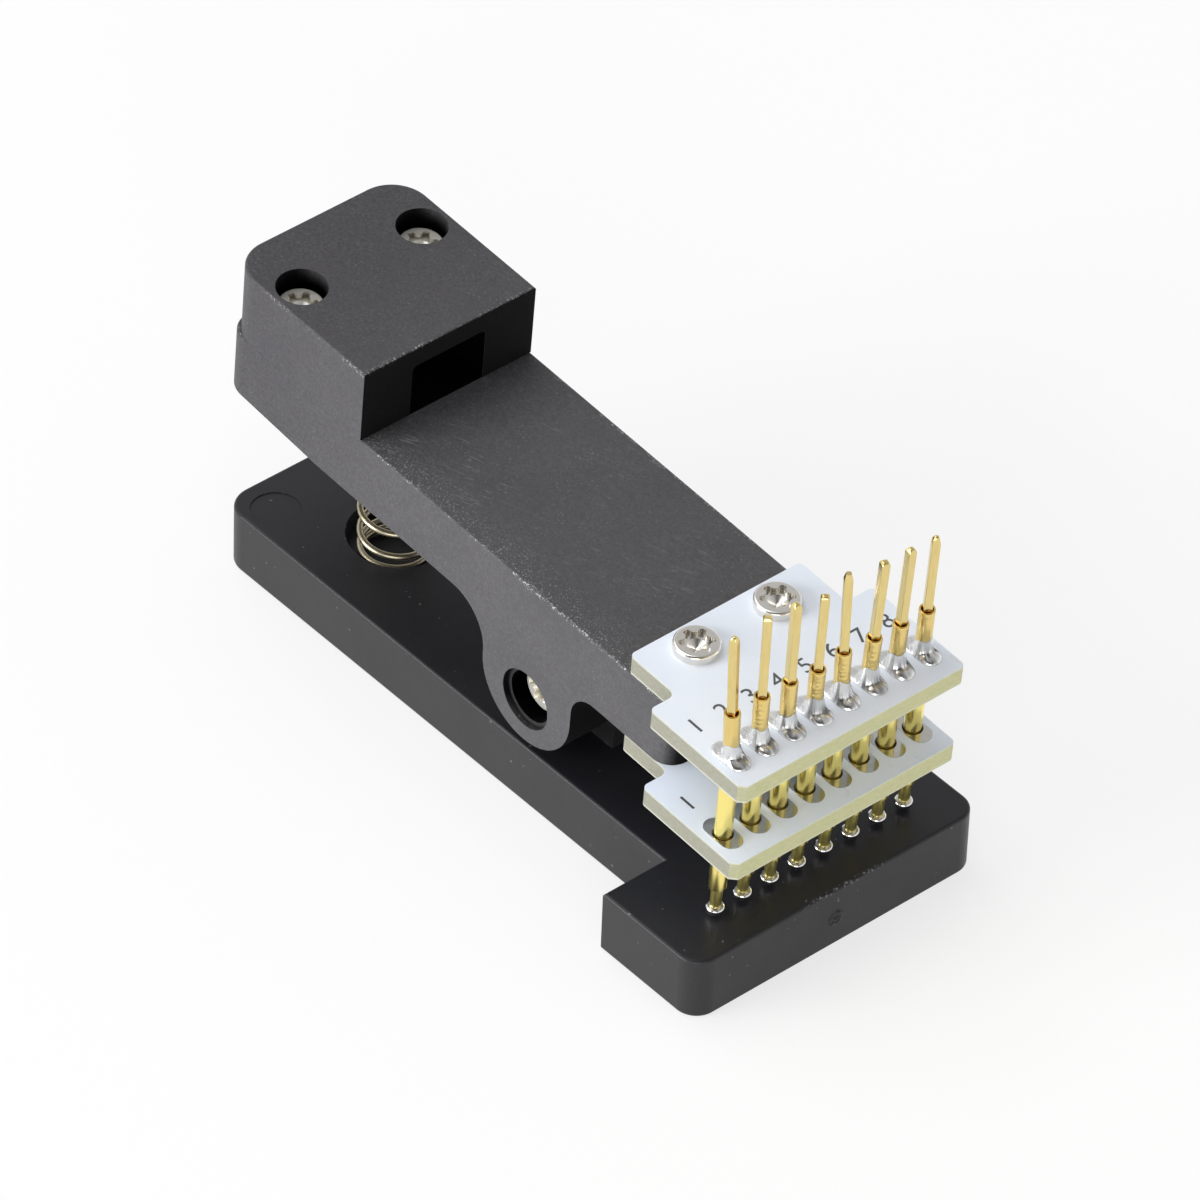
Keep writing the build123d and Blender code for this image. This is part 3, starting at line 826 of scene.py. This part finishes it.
def receptacle_tube(index):
    """A thin tube through both boards, pressed in places, open at both ends."""
    lean = lean_of(index)
    foot = tube_foot - upper_board_top
    top = tube_above_board

    def ring(height, radius, **more):
        return tube_ring(index, lean, height, radius, **more)

    rings = [ring(foot, tube_radius - foot_round), ring(foot + foot_round, tube_radius)]
    for height in steps(foot + plain_start, lower_board_top, plain_spacing):
        rings.append(ring(height, tube_radius))
    marks = waist_marks.get(index, ())
    for height in steps(lower_board_top + waist_spacing, upper_board_floor, waist_spacing):
        rings.append(ring(height, tube_radius, marks=marks, depth=waist_mark_depth))
    rings.append(ring(-shoulder, tube_radius))
    marks = neck_marks.get(index, ())
    for height in steps(shoulder, top - rim_height, neck_spacing):
        rings.append(ring(height, neck_radius, marks=marks, depth=neck_mark_depth))
    rings += [ring(top + height, neck_radius, flare=more) for height, more in rim_outline]
    rings += [ring(top - depth, radius) for depth, radius in mouth_outline]
    rings.append(ring(top - mouth_depth - crimp_length, crimp_radius))
    rings += [ring(height, neck_bore_radius) for height in (top / 2, shoulder)]
    rings += [ring(height, tube_bore_radius) for height in (-shoulder, foot)]
    data = loft(f"tube_{index + 1}", rings, closed=True)
    made = piece(f"tube_{index + 1}", data, tubes_gold, tube_crease)
    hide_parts("receptacle_tubes")
    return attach(made, "lever")


# Wire-wrap tails

tail_corners = 40
tail_crease = 50.0
tail_spacing = 0.8
root_row = 0.05

# A post's corners are sharper than its tip's
post_sharpness = 11.0
tip_sharpness = 4.0
tip_shares = (0.12, 0.25, 0.4, 0.55, 0.7, 0.82, 0.91, 0.97, 1.0)

# Each tail's tip as (length, share of the width left at its end, roundness of its taper)
tail_tips = (
    (0.85, 0.20, 2.0),
    (0.16, 0.72, 1.0),
    (0.42, 0.34, 2.0),
    (0.34, 0.40, 2.0),
    (0.55, 0.62, 1.0),
    (0.30, 0.50, 2.0),
    (0.40, 0.30, 2.0),
    (0.70, 0.34, 1.6),
)


def square_ring(place, height, width, sharpness):
    """A square with rounded corners across a tail's axis."""
    points = []
    for angle in circle(tail_corners):
        across = math.copysign(abs(math.cos(angle)) ** (2 / sharpness), math.cos(angle))
        along = math.copysign(abs(math.sin(angle)) ** (2 / sharpness), math.sin(angle))
        offset = Vector((across * width / 2, along * width / 2, height))
        points.append(on_lever(*(place @ offset)))
    return points


def wire_wrap_tail(index):
    """A square post with softened corners and its own tip."""
    place = lean_of(index) @ Matrix.Rotation(math.radians(tail_twist[index]), 4, "Z")
    length, left, roundness = tail_tips[index]
    foot = tube_above_board - tail_root_depth
    top = tube_above_board + tail_above_tube
    rings = []
    for height in [foot, foot + root_row] + steps(tube_above_board, top - length, tail_spacing):
        rings.append(square_ring(place, height, tail_width, post_sharpness))
    for share in tip_shares:
        taper = (1 - share ** roundness) ** (1 / roundness)
        width = tail_width * (left + (1 - left) * taper)
        sharpness = post_sharpness - (post_sharpness - tip_sharpness) * share
        rings.append(square_ring(place, top - length * (1 - share), width, sharpness))
    data = loft(f"tail_{index + 1}", rings)
    made = piece(f"tail_{index + 1}", data, gold, tail_crease)
    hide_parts("wire_wrap_tails")
    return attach(made, "lever")


# Solder. A cone climbs the tube, and wrinkles and a faint swirl lie on the mound in front.

solder_seed = 100
solder_corners = 72
solder_crease = 60.0
solder_film = 0.055
film_steepness = 6
tube_slack = 0.01
cone_heights = (1.05, 1.35)
cone_reach = 0.42
cone_power = 3.6
cone_unevenness = 0.10
mound_heights = (0.33, 0.44)
wrinkle_depth = 0.085
swirl_height = 0.014
solder_shares = (
    0.0, 0.03, 0.07, 0.12, 0.18, 0.25, 0.33, 0.42, 0.52, 0.62, 0.72, 0.81, 0.88, 0.94, 0.98, 1.0,
)


def pad_reach(angle):
    """Distance from a pin's axis to its pad's oval outline."""
    half = pad_width / 2
    straight = pad_length / 2 - half
    across = abs(math.sin(angle))
    along = abs(math.cos(angle))
    if across * straight > along * half:
        return half / across
    middle = straight * along
    return middle + math.sqrt(max(middle * middle - straight * straight + half * half, 0.0))


def solder_mound(index):
    """Solder on a pad: flat behind, a wrinkled mound in front and a cone up the tube."""
    chance = random.Random(solder_seed + index)
    lean = lean_of(index)
    cone = chance.uniform(*cone_heights)
    mound = chance.uniform(*mound_heights)
    phases = [chance.uniform(0, 2 * math.pi) for _ in range(4)]
    hole = neck_radius + tube_slack
    angles = circle(solder_corners)

    def surface(angle, share):
        """Height over the pad, from the tube at share 0 to the pad's outline at share 1."""
        run = share * (pad_reach(angle) - hole)
        climb = cone * (1 + cone_unevenness * math.sin(3 * angle + phases[0]))
        height = climb * max(0.0, 1 - run / cone_reach) ** cone_power
        # The mound rises to the front and falls to the pad's outline
        front = rise(math.cos(angle), -0.30, 0.45)
        dome = (1 - share ** 2.4) ** 0.85 * (0.75 + 0.25 * rise(share, 0.0, 0.5))
        wrinkles = 1 - abs(math.sin(4.5 * angle + phases[1] + 0.6 * share))
        wrinkles += 0.8 * (1 - abs(math.sin(7 * angle + phases[2] - 1.2 * share)))
        swell = front * dome * (mound - wrinkle_depth * wrinkles * rise(share, 0.1, 0.4))
        swirl = swirl_height * math.sin(5 * angle + phases[3] + 5 * share)
        swell += swirl * math.sin(math.pi * share)
        film = solder_film * min(1.0, math.sqrt(max(0.0, 1 - share) * film_steepness))
        return max(height + swell, 0.0) + film

    def ring(share, heights):
        points = []
        for angle, height in zip(angles, heights):
            distance = hole + share * (pad_reach(angle) - hole)
            up = pad_thickness + height
            leaning = lean @ Vector((0, 0, up))
            upright = Vector((pin_forward, pin_places[index], upper_board_top + up))
            middle = upright.lerp(leaning, max(0.0, 1 - 2 * share))
            outwards = Vector((math.cos(angle), math.sin(angle), 0))
            points.append(on_lever(*(middle + outwards * distance)))
        return points

    rings = [ring(0.0, [0.0] * solder_corners)]
    rings += [ring(share, [surface(angle, share) for angle in angles]) for share in solder_shares]
    rings.append(ring(1.0, [0.0] * solder_corners))
    data = loft(f"solder_{index + 1}", rings, closed=True)
    made = piece(f"solder_{index + 1}", data, solder, solder_crease)
    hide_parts("solder_joints")
    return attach(made, "lever")


# Springs

spring_crease = 60.0
wire_end_size = 0.82
coil_steps = 420
coil_corners = 14
coil_start = math.radians(-140)
coil_smoothing = (-0.12, -0.06, 0.0, 0.06, 0.12)
probe_coil_turns = 9.0
probe_coil_steps = 180
probe_coil_corners = 8

# The return spring's foot and top, and the height of its wire above its foot after each number
# of turns
spring_floor = 4.05
spring_rest = (
    (0.0, 0.25), (0.45, 0.70), (0.75, 0.90), (1.0, 1.00), (1.58, 1.72), (1.98, 2.42), (2.58, 3.82),
    (2.98, 4.60), (3.98, 6.25), (4.98, 7.90), (5.98, 9.50), (6.98, 11.10), (7.98, 12.60),
    (8.5, 13.15), (9.4, 13.40),
)
spring_top_turn, spring_top_height = spring_rest[-1]


def wire_along(name, centres, radius, corners):
    """A round wire along a list of points, slightly narrower at its ends."""
    rings = []
    last = len(centres) - 1
    for row, centre in enumerate(centres):
        ahead = (centres[min(row + 1, last)] - centres[max(row - 1, 0)]).normalized()
        side = ahead.cross(Vector((0, 0, 1))).normalized()
        other = side.cross(ahead)
        size = radius * (wire_end_size if row in (0, last) else 1.0)
        rings.append([centre + (side * math.cos(angle) + other * math.sin(angle)) * size
                      for angle in circle(corners)])
    return loft(name, rings)


def spring_height(turn):
    """Height of the wire's middle above the return spring's foot."""
    for (low, start), (high, end) in zip(spring_rest, spring_rest[1:]):
        if turn <= high:
            return start + (end - start) * (turn - low) / (high - low)
    return spring_top_height


def return_spring():
    """A left-hand coil with closed ends."""
    centres = []
    for step in range(coil_steps + 1):
        turn = spring_top_turn * step / coil_steps
        near = [spring_height(turn + shift) for shift in coil_smoothing]
        heading = coil_start - 2 * math.pi * turn
        centres.append(Vector((
            spring_centre[0] + spring_radius * math.cos(heading),
            spring_centre[1] + spring_radius * math.sin(heading),
            spring_floor + sum(near) / len(near),
        )) * mm)
    data = wire_along("return_spring_coil", centres, spring_wire / 2 * mm, coil_corners)
    made = piece("return_spring_coil", data, steel, spring_crease)
    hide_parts("return_spring")
    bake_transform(made)


def probe_spring(index):
    """The small coil inside one probe."""
    centres = []
    for step in range(probe_coil_steps + 1):
        share = step / probe_coil_steps
        heading = 2 * math.pi * probe_coil_turns * share
        up = probe_spring_foot + probe_spring_wire / 2
        up += (probe_spring_top - probe_spring_foot - probe_spring_wire) * share
        centres.append(on_lever(pin_forward + probe_spring_radius * math.cos(heading),
                                pin_places[index] + probe_spring_radius * math.sin(heading), up))
    name = f"probe_coil_{index + 1}"
    data = wire_along(name, centres, probe_spring_wire / 2 * mm, probe_coil_corners)
    made = piece(name, data, steel, spring_crease)
    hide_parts(f"probe_spring_{index + 1}")
    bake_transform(made)


# Numbers on the boards

number_forward = 19.0
number_size = 2.1
number_crease = 30.0
number_detail = 6
ink_thickness = 0.004


def number_mark(name, text, across, floor):
    """A plain number in thin ink on a board, read from the front."""
    curve = bpy.data.curves.new(name, "FONT")
    curve.body = text
    curve.size = number_size * mm
    curve.extrude = ink_thickness * mm
    curve.align_x = "CENTER"
    curve.resolution_u = number_detail
    shape = bpy.data.objects.new(name + "_curve", curve)
    bpy.context.scene.collection.objects.link(shape)
    bpy.context.view_layer.update()
    data = bpy.data.meshes.new_from_object(shape)
    bpy.data.objects.remove(shape)
    bpy.data.curves.remove(curve)
    place = lever_axes.to_4x4() @ Matrix.Rotation(math.radians(90), 4, "Z")
    place.translation = on_lever(number_forward, across, floor + ink_thickness)
    data.transform(place)
    data.materials.clear()
    made = piece(name, data, marking, number_crease)
    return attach(made, "lever")


# Gate scar, its outline given as (share of its radius, height above the base's front face)

scar_seed = 7
scar_corners = 36
scar_crease = 20.0
scar_middle = Vector((base_front, -0.4, 2.55))
scar_radius = 0.72
scar_unevenness = (0.86, 1.12)
scar_lump = 0.035
scar_smallest = 0.02
scar_root = 0.04
scar_outline = (
    (0.0, 0.02), (0.15, 0.04), (0.32, 0.01), (0.5, 0.05), (0.68, 0.09), (0.84, 0.06), (1.0, -0.01),
)


def gate_scar():
    """A rough round mark where the base's mould was filled, on its front face."""
    chance = random.Random(scar_seed)
    rings = []
    wobble = [chance.uniform(*scar_unevenness) for _ in range(scar_corners)]
    for share, height in scar_outline:
        ring = []
        for angle, uneven in zip(circle(scar_corners), wobble):
            reach = scar_radius * max(share, scar_smallest) * uneven
            lump = scar_lump * chance.uniform(-1, 1) if 0 < share < 1 else 0.0
            offset = Vector((height + lump, reach * math.cos(angle), reach * math.sin(angle)))
            ring.append((scar_middle + offset) * mm)
        rings.append(ring)
    rings.append([point + Vector((-scar_root, 0, 0)) * mm for point in rings[-1]])
    made = piece("gate_scar", loft("gate_scar", rings), black_base, scar_crease)
    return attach(made, "base")


for index in range(pin_count):
    receptacle_tube(index)
    wire_wrap_tail(index)
    solder_mound(index)
    probe_spring(index)
    number_mark(f"pin_number_{index + 1}", str(index + 1), pin_places[index], upper_board_top)
number_mark("lower_pin_number", "1", pin_places[0], lower_board_floor + board_thickness)
return_spring()
gate_scar()


# Floor, light and camera

floor_half_width = 3.0
floor_white = (0.94, 0.94, 0.94, 1.0)

# Share of plain white in the floor that the camera and reflections see, so that it looks bright
floor_glow = 0.7

# Strength of the world's light, and what reflections see: white up to one height and grey from
# another, and a dark patch about a direction
world_light = 0.45
room_heights = (0.15, 0.95)
room_grey = 0.37
dark_side = (0.56, -0.50, 0.66)
dark_edge = (0.72, 0.93)
dark_grey = 0.12


def plain_floor():
    half = floor_half_width
    outline = [(-half, -half, 0), (half, -half, 0), (half, half, 0), (-half, half, 0)]
    data = bpy.data.meshes.new("floor")
    data.from_pydata(outline, [], [(0, 1, 2, 3)])
    plane = bpy.data.objects.new("floor", data)
    bpy.context.scene.collection.objects.link(plane)
    graph = Graph("floor_white")
    graph.set("Base Color", floor_white)
    graph.set("Roughness", 0.7)
    graph.set("Specular IOR Level", 0.2)
    rays = graph.new("LightPath").outputs
    seen = graph.math("MAXIMUM", rays["Is Camera Ray"], rays["Is Glossy Ray"])
    seen = graph.math("MAXIMUM", seen, rays["Is Transmission Ray"])
    mixer = graph.new("MixShader")
    graph.put(mixer.inputs[0], graph.product(seen, floor_glow))
    graph.put(mixer.inputs[1], graph.shader.outputs[0])
    graph.put(mixer.inputs[2], graph.new("Emission").outputs[0])
    graph.put(graph.output.inputs[0], mixer.outputs[0])
    data.materials.append(graph.material)


def plain_world():
    """Grey light. The camera sees it white, and reflections see a room with a dark side."""
    scene_world = bpy.data.worlds.new("plain_world")
    scene_world.use_nodes = True
    bpy.context.scene.world = scene_world
    nodes = Nodes(scene_world.node_tree)
    direction = nodes.coordinates("Generated")
    height = nodes.dot(direction, (0, 0, 1))
    room = nodes.span(height, *room_heights, 1.0, room_grey)
    dark = nodes.span(nodes.dot(direction, dark_side), *dark_edge, 1.0, dark_grey)
    rays = nodes.new("LightPath").outputs
    reflected = nodes.math("MAXIMUM", rays["Is Glossy Ray"], rays["Is Transmission Ray"])
    strength = nodes.mix(reflected, world_light, nodes.product(room, dark))
    strength = nodes.mix(rays["Is Camera Ray"], strength, 1.0)
    background = nodes.new("Background", Color=(1, 1, 1, 1), Strength=strength)
    nodes.new("OutputWorld", Surface=background.outputs[0])


def soft_box(name, place, size, power):
    """A square lamp that faces the clip."""
    data = bpy.data.lights.new(name, "AREA")
    data.shape = "SQUARE"
    data.size = size
    data.energy = power
    lamp = bpy.data.objects.new(name, data)
    lamp.location = place
    lamp.rotation_euler = (-Vector(place)).to_track_quat("-Z", "Y").to_euler()
    bpy.context.scene.collection.objects.link(lamp)


def camera():
    """The photograph's viewpoint, from its direction, distance, roll and focal length."""
    azimuth = math.radians(47.992)
    elevation = math.radians(41.05)
    roll = math.radians(2.31)
    distance = 0.70825
    focal_pixels = 9885.5
    frame_pixels = 1200
    target = Vector((-1.952, 0.56, 13.178)) * mm
    back = Vector((
        math.sin(azimuth) * math.cos(elevation),
        -math.cos(azimuth) * math.cos(elevation),
        math.sin(elevation),
    ))
    level_right = (-back).cross(Vector((0, 0, 1))).normalized()
    level_up = level_right.cross(-back)
    right = level_right * math.cos(roll) + level_up * math.sin(roll)
    up = level_up * math.cos(roll) - level_right * math.sin(roll)
    turned = Matrix((right, up, back)).transposed().to_4x4()
    data = bpy.data.cameras.new("photo_camera")
    data.sensor_width = 36.0
    data.sensor_fit = "HORIZONTAL"
    data.lens = focal_pixels / frame_pixels * data.sensor_width
    data.clip_start = 0.05
    data.clip_end = 20.0
    view = bpy.data.objects.new("photo_camera", data)
    view.matrix_world = Matrix.Translation(target + back * distance) @ turned
    bpy.context.scene.collection.objects.link(view)
    bpy.context.scene.camera = view


plain_floor()
plain_world()
soft_box("left_light", (-0.45, -1.15, 0.34), size=0.8, power=17.0)
soft_box("top_light", (-0.55, -0.1, 1.10), size=0.9, power=4.8)
soft_box("front_light", (0.85, -0.80, 0.28), size=0.7, power=5.5)
camera()
bpy.context.scene.view_settings.view_transform = "Standard"


def corners(box):
    return [[float(value) for value in corner] for corner in box]
